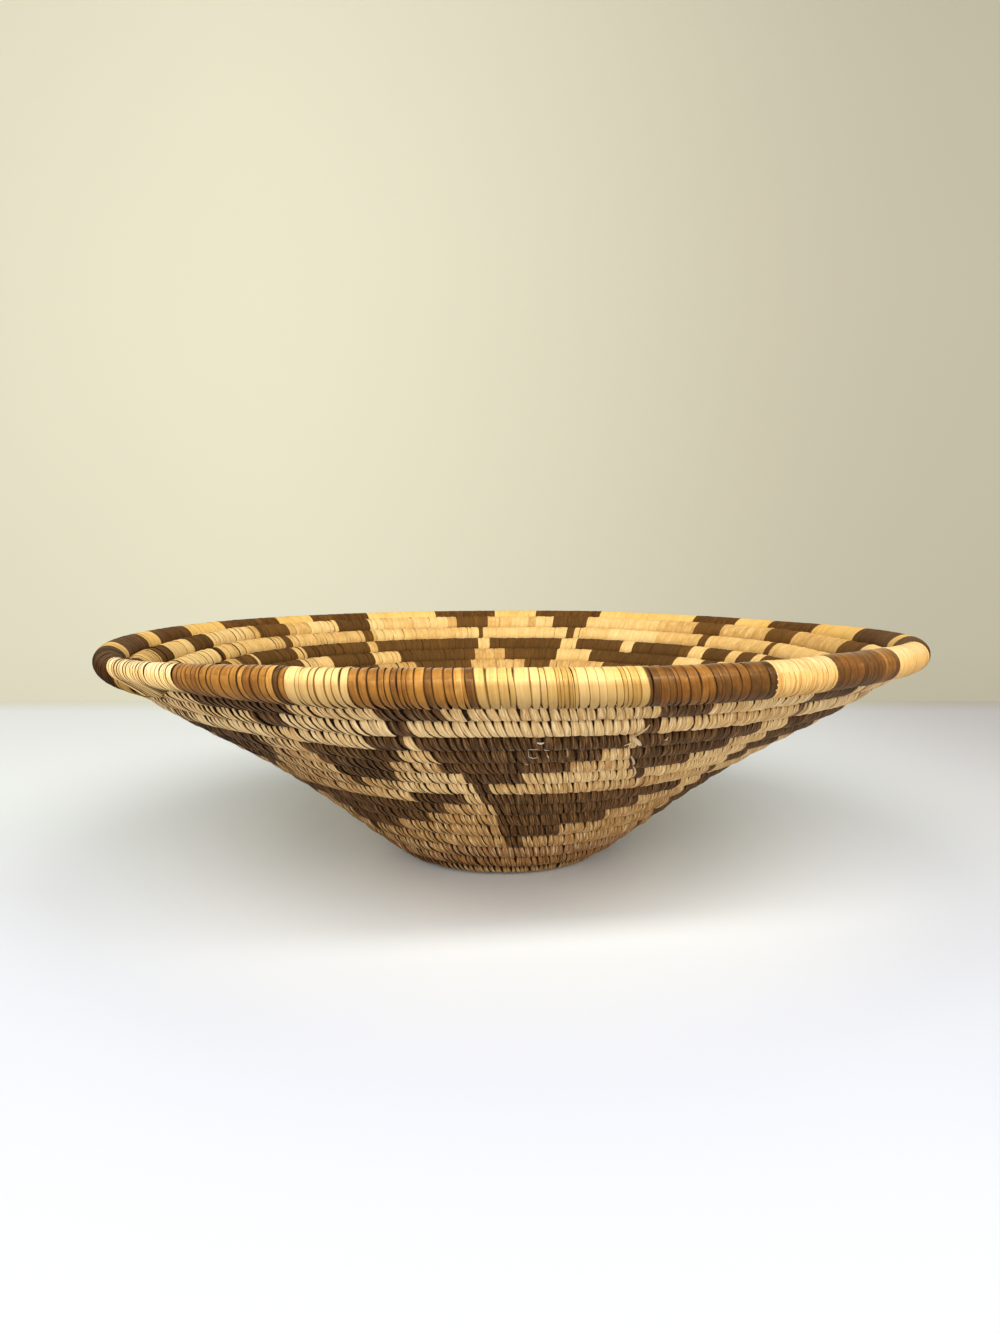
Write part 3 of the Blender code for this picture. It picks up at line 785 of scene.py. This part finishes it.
# The other runs, by kind or by name: between which tones their strips lie, in hundredths
plainTones = {"rim_natural": (38, 64), "rim_dark": (12, 28), "rim_natural_04": (55, 75),
              "rim_natural_05": (40, 60), "rim_dark_15": (8, 20)}


def stripsOf(name, parts, dice):       # widths in parts of the run, and tones from 0 to 1
    if name in frontStrips:
        widths, tones = frontStrips[name]
        return np.array(widths) / sum(widths), np.array(tones) / 100
    width = np.exp(dice.normal(0.0, binding["widthSpread"], int(round(parts * binding["perPart"]))))
    low, high = plainTones.get(name, plainTones[name[:-3]])
    tones = lengthTones(len(width), binding["toneStrips"], binding["tones"], dice)
    return width / width.sum(), (low + (high - low) * tones) / 100


# Round the rim, and by wrap, from 0 to 1, round the row below too: a straight side, then that row
def rimOutline(places, wrap):
    angle, _, folded, outer = outline(binding["around"])
    rimHalf = (line.rimDiameter(places) / 2 - binding["under"])[:, None]
    up, out = hangingOutline(angle, rimHalf, rimHalf + binding["reach"], binding["power"],
                             binding["power"])
    rowHalf = coilSizes["rowCoil"] / 2 + binding["overRow"]
    first, run = binding["sideSpan"]
    straight = np.clip((folded - first) / run, 0, 1)[None]
    turn = np.radians(np.clip(folded - (first + run), 0, run) * 2)[None]
    bothUp = -line.rimStep(places)[:, None] * straight - rowHalf * np.sin(turn)
    side = np.where(outer, 1.0, -1.0)
    bothOut = side * ((rimHalf + (rowHalf - rimHalf) * straight) * np.where(turn > 0, np.cos(turn), 1.0))
    upper = np.cos(angle) > 0
    return (np.where(upper, up, up * (1 - wrap) + bothUp * wrap),
            np.where(upper, out, out * (1 - wrap) + bothOut * wrap))


# One run of strips between the edges. Drift is the path of a slanting strip round the rim: it falls
# by 1 over the half that is seen, as a power of how far down it is, and eases back over the rest.
def bindRun(name, edges, tones, material, dice):
    places = (edges[1:] + edges[:-1]) / 2
    strips = len(places)
    half = np.diff(edges) / 2 * 2 * math.pi * line.rowRadius(places)
    angle, degrees, folded, outer = outline(binding["around"])
    facing = np.where(outer, 1.0, 0.0)
    seen = (degrees - binding["seenFrom"]) % 360.0 / 180.0
    drift = np.where(seen <= 1.0, binding["driftAbove"] - seen ** binding["driftPower"],
                     smooth(seen - 1.0) - binding["driftBelow"])
    across = np.array(binding["section"])
    place = np.degrees(line.angle(places))

    def here(key):                     # what binding says by degrees from the front, for each strip
        return np.interp(place, binding[key + "At"], binding[key])[:, None]

    wrap = (1.0 - ramp(places, binding["wrapSpan"]))[:, None]
    up, out = rimOutline(places, wrap)
    grow = dice.normal(0.0, binding["sizeSpread"], (strips, 1))
    loose = here("loose") * (1 - wrap)
    loose = np.minimum(np.abs(dice.normal(0.0, 1.0, (strips, 1))), binding["looseMost"]) * loose
    slit = ramp(folded, binding["slitOpens"]) * (1.0 - ramp(folded, binding["slitCloses"])) * facing
    narrow = binding["footInner"] + binding["footMore"] * facing
    foot = (1.0 - narrow * ramp(folded, binding["footSpan"]))[None] * (1 - wrap) + wrap
    taper = dice.uniform(*binding["taper"], (strips, 1)) * ramp(folded, binding["taperSpan"])
    taper = taper * (1 - wrap) * facing
    halfWidth = half[:, None] * (binding["wide"] - loose * slit) * (1 - taper) * foot
    slant = here("slant") / 1000 * (1 + dice.normal(0, binding["slantSpread"], (strips, 1)))
    sideways = slant * drift[None] + here("shift") / 1000
    for waves, spread in zip(binding["waveCounts"], binding["waves"]):
        sideways = sideways + strayWave(strips, spread, waves, angle, dice)
    calm = here("calm")
    lying = 1.0 - binding["lying"] * calm[:, :, None]
    lift = np.array(binding["lift"]) * np.where(across == 0.0, 1.0, lying)
    lift = lift + dice.normal(0.0, binding["liftSpread"], (strips, 1, 1)) * lying
    tilt = dice.normal(0.0, binding["tiltSpread"], (strips, 1, 1)) * across * lying
    points = bandPoints(places, up * (1 + grow), out * (1 + grow), halfWidth, sideways, across,
                        lift + tilt)
    tone = np.clip(tones + binding["toneSpread"] * (dice.random(strips) - 0.5), 0, 1)
    # Painted shade where the strip turns under, into the row below
    hole = ramp(folded, binding["holeSpan"])[None] * (1 - wrap)
    low, high = binding["calmInside"]
    calm = np.maximum(calm, np.where((degrees > low) & (degrees < high), 1.0, 0.0))
    # Painted shade: the rim's strips take the look's low-side tint and a duller surface everywhere but the
    # lit top and most of the inner side
    worn = ramp(np.where(outer, degrees, degrees - 360.0), binding["paintedShadeSpan"])
    widen = here("widen") + dice.normal(0.0, binding["widenSpread"], (strips, 1))
    numbers = {"tone": perBand(tone), "odd": perBand(dice.random(strips)), "deep": hole[..., None],
               "low": worn[:, None], "widen": widen[..., None], "calm": calm[..., None]}
    newPiece(name + "_strips", points, bandFaces(strips, len(angle), len(across)),
             bandStrip(up, out, across), numbers, material, name)


def bindRim():
    dice = np.random.default_rng(binding["seed"])
    ends = coilSizes["bindingEnd"] / (2 * math.pi * line.rimRadius)
    runs = []
    for number, (natural, dark) in enumerate(rimRuns, start=1):
        runs += [("natural", number, natural), ("dark", number, dark)]
    runs.append(("natural", len(rimRuns) + 1, lastNaturalRun))
    part = (1.0 - 2 * ends) / sum(parts for _, _, parts in runs)
    leaves = {}
    for ending, changes in (("", {}), ("_matte", rimMatte)):
        for kind, look in (("natural", rimNatural), ("dark", rimDark)):
            leaves[kind + ending] = leafMaterial(kind + "_rim_leaf" + ending, dict(look, **changes))
    leaves["pale"] = leafMaterial("natural_tip_leaf", rimPale)
    first, made = ends, 0
    for kind, number, parts in runs:
        name = "rim_%s_%02d" % (kind, number)
        last = first + parts * part
        shares, tones = stripsOf(name, parts, dice)
        edges = first + (last - first) * np.concatenate(([0.0], np.cumsum(shares)))
        leaf = "pale" if name in binding["pale"] else kind if name in frontStrips else kind + "_matte"
        bindRun(name, edges, tones, leaves[leaf], dice)
        first, made = last, made + len(shares)
    print("rim: %d strips in %d runs" % (made, len(runs)))


bindRim()


# Loose ends of strips and fibres that stand off the wall, and bits of a light strip that show
# between the dark ones of the rim. Each has its row, half its width in millimetres, a tone, and three
# points: degrees from the front, millimetres up and millimetres out from the middle of the row. It
# runs from the first to the last point as a curve that the middle one pulls on.
looseEnds = (
    (3, 0.25, 0.0, (3.70, 2.2, 3.6), (4.10, 2.4, 4.1), (4.50, 2.2, 3.6)),
    (3, 0.08, 0.3, (2.75, -0.5, 4.2), (3.30, 0.2, 4.7), (3.90, -0.25, 4.3)),
    (4, 0.07, 0.4, (2.75, 7.8, 4.2), (2.95, 4.9, 4.8), (3.05, 2.2, 3.8)),
    (4, 0.10, 0.2, (3.00, 2.2, 3.7), (3.55, 1.7, 4.4), (4.20, 1.9, 3.8)),
    (3, 0.10, 0.2, (4.60, -0.7, 4.2), (4.75, -0.5, 4.6), (5.25, -1.2, 4.3)),
    (4, 0.12, 0.3, (5.30, 2.6, 3.5), (5.50, 2.2, 4.1), (5.55, 1.6, 3.9)),
    (4, 0.08, 0.5, (7.15, 9.1, 4.1), (7.85, 4.5, 4.6), (7.80, 1.9, 3.9)),
    (5, 0.12, 0.3, (2.75, 3.2, 2.8), (3.05, 3.0, 3.5), (3.30, 2.9, 3.1)),
    (3, 0.34, 0.8, (14.65, 3.0, 3.1), (14.70, 9.1, 5.2), (15.40, 11.3, 3.6)),
    (3, 0.62, 0.7, (14.80, 3.2, 3.2), (15.50, 2.4, 4.6), (16.40, -0.5, 4.2)),
    (3, 0.20, 0.7, (14.20, 0.2, 4.2), (14.60, 1.5, 4.4), (15.00, 1.4, 3.9)),
    (5, 0.30, 0.6, (16.50, 9.4, 4.2), (18.00, 5.0, 4.9), (18.50, 1.5, 4.0)),
    (6, 0.26, 0.8, (18.90, 8.5, 4.2), (20.60, 4.5, 4.8), (21.10, -0.3, 4.2)),
    (4, 0.12, 0.3, (-13.50, 3.2, 2.8), (-12.70, 9.5, 5.2), (-12.20, 3.2, 2.8)),
    (3, 0.20, 0.3, (19.15, 1.5, 3.9), (19.20, 2.4, 4.4), (19.45, 2.5, 3.5)),
    (4, 0.28, 0.7, (-33.10, 3.0, 3.1), (-31.10, 3.0, 5.0), (-30.00, -0.5, 4.3)),
    (4, 0.22, 0.5, (-33.20, 0.4, 4.2), (-31.20, 2.6, 4.9), (-29.90, 0.6, 4.3)),
    (0, 0.20, 0.4, (25.90, 4.50, 0.08), (25.90, 4.52, 0.32), (25.90, 4.47, 0.55)),
    (0, 0.20, 0.4, (25.88, 4.33, 1.24), (25.88, 4.28, 1.47), (25.88, 4.17, 1.69)),
    (0, 0.20, 0.5, (25.88, 3.77, 2.45), (25.88, 3.66, 2.66), (25.88, 3.50, 2.83)),
    (0, 0.20, 0.6, (25.90, 2.89, 3.45), (25.90, 2.72, 3.61), (25.90, 2.52, 3.73)),
)
looseLeaf = dict(wallNatural, stops=((0.0, (0.56, 0.50, 0.38)), (1.0, (0.52, 0.34, 0.145))), light=0.25)
looseBand = {"rings": 9, "ends": 0.4, "thick": 0.00004, "edge": 0.4, "long": 4, "away": 1.1,
             "nearRow": 0.005}


# Flat ribbons, closed all round. Their width is a share ends at both ends and full in the middle, by
# a sine. They face away from the row's middle, and a ribbon between two rows faces straight out.
def layLooseEnds():
    count, rings, corners = len(looseEnds), looseBand["rings"], 4
    share = np.linspace(0.0, 1.0, rings)
    weights = np.stack(((1 - share) ** 2, 2 * share * (1 - share), share ** 2), axis=-1)
    degrees, up, out = np.einsum("km,nmj->jnk", weights, np.array([end[3:] for end in looseEnds]))
    up, out = up / 1000, out / 1000
    turns = np.array([end[0] for end in looseEnds])[:, None] + (degrees - coilSizes["tipAngle"]) / 360
    centre = line.place(turns, up, out)
    upAway = np.where(np.hypot(up, out) < looseBand["nearRow"], looseBand["away"], 1.0)
    away = line.place(turns, up * upAway, out * looseBand["away"]) - centre
    along = np.gradient(centre, axis=1)
    side = np.cross(along, away)
    side /= np.linalg.norm(side, axis=-1, keepdims=True)
    face = np.cross(side, along)
    face /= np.linalg.norm(face, axis=-1, keepdims=True)
    swell = looseBand["ends"] + (1 - looseBand["ends"]) * np.sin(math.pi * share)
    half = np.array([end[1] for end in looseEnds])[:, None] / 1000 * swell
    sideways, outwards = np.array((1, 1, -1, -1)), np.array((1, -1, -1, 1)) * looseBand["thick"]
    points = (centre[:, :, None] + side[:, :, None] * (half[:, :, None] * sideways)[..., None]
              + face[:, :, None] * outwards[:, None])
    cap = np.arange(corners)
    faces = np.concatenate((bandFaces(1, rings, corners, closed=False),
                            (cap[::-1], cap + (rings - 1) * corners)))
    strip = np.stack((np.tile(sideways * looseBand["edge"], rings)[faces],
                      np.repeat(share * looseBand["long"], corners)[faces]), axis=-1)
    numbers = {"tone": perBand([end[2] for end in looseEnds]), "odd": perBand(np.arange(count) / count),
               "deep": 0.0, "calm": 0.0}
    newPiece("loose_ends", points, repeated(faces, count, rings * corners),
             np.broadcast_to(strip, (count,) + strip.shape), numbers,
             leafMaterial("loose_leaf", looseLeaf), "coil")
    print("%d loose ends" % count)


layLooseEnds()


# The foundation: a bundle of fine grass stems under the stitches, seen through the small holes. Its
# dark brown is painted shade, the shade inside those holes.
bundle = {
    "clear": 0.00062, "around": 12, "perTurn": 110, "tip": 0.002, "endRings": 2.0, "endSize": 0.02,
    "stems": 7, "stemDepth": 0.02, "twist": 40.0,
    "grain": 900.0, "grainDetail": 2.0, "grainSpan": (0.35, 0.7),
    # Dark and pale: painted shade, the grass darkened to the shade seen through the holes
    "dark": (0.020, 0.010, 0.004), "pale": (0.060, 0.032, 0.014), "rough": 0.85, "specular": 0.05,
}


# A tube inside the stitches, its radius rippled by a sine for its stems, which twist as they go
def layBundle():
    places = np.linspace(line.turns, bundle["tip"], int(line.turns * bundle["perTurn"]))
    around = bundle["around"]
    angle = ringAngles(around)
    half = (line.bundleDiameter(places) / 2 - bundle["clear"])[:, None]
    ends = np.minimum(np.arange(len(places)), np.arange(len(places))[::-1])
    half = half * np.clip(ends / bundle["endRings"], bundle["endSize"], 1.0)[:, None]
    stems = np.sin(bundle["stems"] * angle[None] + bundle["twist"] * places[:, None])
    ripple = 1.0 + bundle["stemDepth"] * stems
    up, out = half * ripple * np.cos(angle), half * ripple * np.sin(angle)
    points = settled(line.place(places[:, None], up, out)).reshape(-1, 3)
    faces = bandFaces(1, len(places), around, closed=False)[:, [0, 3, 2, 1]]
    caps = [tuple(range(around)), tuple(range(len(points) - 1, len(points) - around - 1, -1))]
    mesh = bpy.data.meshes.new("foundation_bundle")
    mesh.from_pydata(points.tolist(), [], faces.tolist() + caps)
    mesh.shade_smooth()
    material, tree, shader = newMaterial("grass_bundle")
    grain = noise(tree, objectPlace(tree), bundle["grain"], bundle["grainDetail"])
    color = mixColors(tree, grain.between(*bundle["grainSpan"]), bundle["dark"], bundle["pale"])
    join(tree, color, shader.inputs["Base Color"])
    shader.inputs["Roughness"].default_value = bundle["rough"]
    shader.inputs["Specular IOR Level"].default_value = bundle["specular"]
    dress("foundation_bundle", mesh, material, "coil")


layBundle()


# The start: a strip wound round and round into the knot, and the flat pad of wound strip beside it
# that closes the base where the coil's first turn leaves room.
winding = {"lift": (-0.0002, 0.0, 0.0, -0.0002, -0.0006), "turn": 0.382, "size": 0.94, "seed": 5}
knot = {"bands": 9, "around": 24, "halfWidth": 0.0010, "bandLift": 0.00004}
pad = {"bands": 23, "around": 24, "halfWidth": 0.0014, "bandLift": 0.00002,
       "beside": (-0.0014, 0.0003, 0.0016), "half": (0.0096, 0.0096, 0.0015)}


# Upright bands, each an ellipse round the middle. Each is turned on by a share turn of half a circle
# from the one before it, and is larger than it by bandLift, as all cross at the top and the bottom.
def windBands(name, look, middle, half):
    bands, angle = look["bands"], ringAngles(look["around"])
    across, lift = np.array(stitch["section"]), np.array(winding["lift"])
    turn = math.pi * (np.arange(bands) * winding["turn"] % 1.0)[:, None, None]
    grow = (1.0 - look["bandLift"] / half[0] * np.arange(bands)[::-1])[:, None, None]
    ringX = (half[0] * winding["size"] + lift) * np.cos(angle)[None, :, None] * grow
    ringZ = (half[2] * winding["size"] + lift) * np.sin(angle)[None, :, None] * grow
    sideways = across * look["halfWidth"]
    x = ringX * np.cos(turn) - sideways * np.sin(turn)
    y = ringX * np.sin(turn) + sideways * np.cos(turn)
    points = settled(np.stack((x, y, ringZ), axis=-1) + middle)
    up = np.broadcast_to(half[0] * np.cos(angle), (bands, len(angle)))
    out = np.broadcast_to(half[2] * np.sin(angle), (bands, len(angle)))
    dice = np.random.default_rng(winding["seed"])
    numbers = {"tone": perBand(dice.random(bands)), "odd": perBand(dice.random(bands)),
               "deep": 0.0, "calm": 0.0}
    newPiece(name, points, bandFaces(bands, len(angle), len(across))[:, ::-1], bandStrip(up, out, across),
             numbers, leafMaterial("knot_leaf", wallTan), "start_knot")


def tieKnot():
    low, high = (np.array(corner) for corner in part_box("start_knot"))
    middle = (low + high) / 2
    windBands("start_knot_strip", knot, middle, (high - low) / 2)
    beside = np.array((*middle[:2], 0.0)) + pad["beside"]
    windBands("start_pad_strip", pad, beside, pad["half"])
    print("start tied, knot box %s %s" % (np.round(low * 1000, 2), np.round(high * 1000, 2)))


tieKnot()


# Floor, backdrop, light and camera. The pale colours change a little from left to right and from
# back to front: painted light and shade, as a room's light falls off, with a painted pool of light
# under the basket, and the table's far edge runs into the wall's colour.
stageLook = {
    "tableBack": 0.36, "tableFront": -2.4, "tableSide": 2.4,
    # The table's colours are painted light and shade: far to near, to the right, and paler under the basket
    "tableFar": (0.57, 0.60, 0.61), "tableNear": (0.515, 0.54, 0.60), "tableSpan": (0.10, -0.18),
    "paintedLightUnder": (0.94, 0.99, 1.0), "paintedLightSpan": (0.16, 0.05),
    "tableRightShade": (0.66, 0.61, 0.63), "rightSpan": (0.06, 0.36),
    "tableEdge": (0.91, 0.865, 0.72), "edgeSpan": (0.30, 0.36),
    "wallBack": 1.3, "wallLeft": (0.72, 0.70, 0.54), "wallRight": (0.50, 0.47, 0.36),
    "wallSpan": (-0.55, 0.75), "wallSide": 4.0, "wallFoot": -1.5, "wallTop": 3.5,
    "grain": (0.98, 0.98, 0.98), "grainSize": 3.0, "grainDetail": 3.0, "edgeDepth": 0.03,
    "tableRough": 0.5, "tableSpecular": 0.2, "wallRough": 0.9, "wallSpecular": 0.1,
}
lamps = {                              # place, aim, width, height and power
    "key": ((0.02, -0.34, 1.45), (0.02, 0, 0.06), 2.6, 0.8, 9.8),
    "gleam": ((0.20, -0.92, 1.15), (0.05, 0, 0.06), 2.4, 0.22, 24.0),
    "fill": ((-0.10, -1.08, 0.50), (0, 0, 0.02), 1.7, 0.9, 12.4),
}
room = {"lampColor": (1.0, 0.975, 0.94), "skyColor": (1.0, 0.985, 0.955, 1.0), "sky": 0.60}
cameraLook = {"place": (-0.00272, -0.33529, 0.10447), "tilt": 83.57, "lens": 33.483, "sensor": 36.0,
              "clip": 0.01}


# A plain surface whose colour is worked out from x and y, mottled by up to 2 percent
def plainMaterial(name, what, colorOf):
    material, tree, shader = newMaterial(name)
    place = objectPlace(tree)
    grain = noise(tree, place, stageLook["grainSize"], stageLook["grainDetail"])
    color = colorOf(tree, place.axis(0), place.axis(1))
    join(tree, mixColors(tree, grain, color, tinted(tree, color, stageLook["grain"])),
         shader.inputs["Base Color"])
    shader.inputs["Roughness"].default_value = stageLook[what + "Rough"]
    shader.inputs["Specular IOR Level"].default_value = stageLook[what + "Specular"]
    return material


# Far to near by y, painted light and shade from back to front, then tinted by x to the right,
# painted shade, paler within the span round the middle, where the basket stands, a painted pool of
# light that lifts its shadow, and tinted at the far edge
def tableColor(tree, x, y):
    color = mixColors(tree, y.between(*stageLook["tableSpan"]), stageLook["tableFar"],
                      stageLook["tableNear"])
    color = mixColors(tree, x.between(*stageLook["rightSpan"]), color,
                      tinted(tree, color, stageLook["tableRightShade"]))
    fromMiddle = (x * x + y * y) ** 0.5
    color = mixColors(tree, fromMiddle.between(*stageLook["paintedLightSpan"]), color, stageLook["paintedLightUnder"])
    return mixColors(tree, y.between(*stageLook["edgeSpan"]), color,
                     tinted(tree, color, stageLook["tableEdge"]))


# Painted light: the wall is darker to the right, as the room's light falls off
def wallColor(tree, x, _):             # left to right by x
    return mixColors(tree, x.between(*stageLook["wallSpan"]), stageLook["wallLeft"],
                     stageLook["wallRight"])


def stagePiece(name, points, faces, material):  # what the basket stands on or before
    mesh = bpy.data.meshes.new(name)
    mesh.from_pydata(points, [], faces)
    mesh.materials.append(material)
    linked(name, mesh)


def setStage():                        # the table with its far edge turned down, and an upright wall
    side, back, front = stageLook["tableSide"], stageLook["tableBack"], stageLook["tableFront"]
    under = -stageLook["edgeDepth"]
    stagePiece("floor", [(-side, front, 0), (side, front, 0), (side, back, 0), (-side, back, 0),
                         (-side, back, under), (side, back, under)],
               [(0, 1, 2, 3), (3, 2, 5, 4)], plainMaterial("pale_table", "table", tableColor))
    wide, far, foot, top = (stageLook[key] for key in ("wallSide", "wallBack", "wallFoot", "wallTop"))
    stagePiece("backdrop", [(-wide, far, foot), (wide, far, foot), (wide, far, top), (-wide, far, top)],
               [(0, 1, 2, 3)], plainMaterial("pale_wall", "wall", wallColor))


# A flat lamp, tilted by the angle of its aim from straight down, then turned to where its aim lies
def softLight(name, place, aim, wide, high, power):
    data = bpy.data.lights.new(name, "AREA")
    data.shape, data.size, data.size_y = "RECTANGLE", wide, high
    data.energy, data.color = power, room["lampColor"]
    lamp = linked(name, data)
    away = np.array(aim) - np.array(place)
    lamp.location = place
    lamp.rotation_euler = (math.acos(-away[2] / np.linalg.norm(away)), 0.0,
                           math.atan2(away[0], -away[1]) + math.pi)


def setLight():                        # a wide window high in front, a narrow bright one, and a low one
    world = bpy.data.worlds.new("soft_room")
    world.use_nodes = True
    world.node_tree.nodes["Background"].inputs[0].default_value = room["skyColor"]
    world.node_tree.nodes["Background"].inputs[1].default_value = room["sky"]
    bpy.context.scene.world = world
    for name, settings in lamps.items():
        softLight(name, *settings)


def setCamera():                       # at the photograph's viewing point, 10 cm above the table
    data = bpy.data.cameras.new("camera")
    data.sensor_fit, data.sensor_width = "HORIZONTAL", cameraLook["sensor"]
    data.lens, data.clip_start = cameraLook["lens"], cameraLook["clip"]
    camera = linked("camera", data)
    camera.location = cameraLook["place"]
    camera.rotation_euler = (math.radians(cameraLook["tilt"]), 0.0, 0.0)
    bpy.context.scene.camera = camera


setStage()
setLight()
setCamera()
bpy.context.scene.view_settings.view_transform = "Standard"
print("stage, light and camera set")
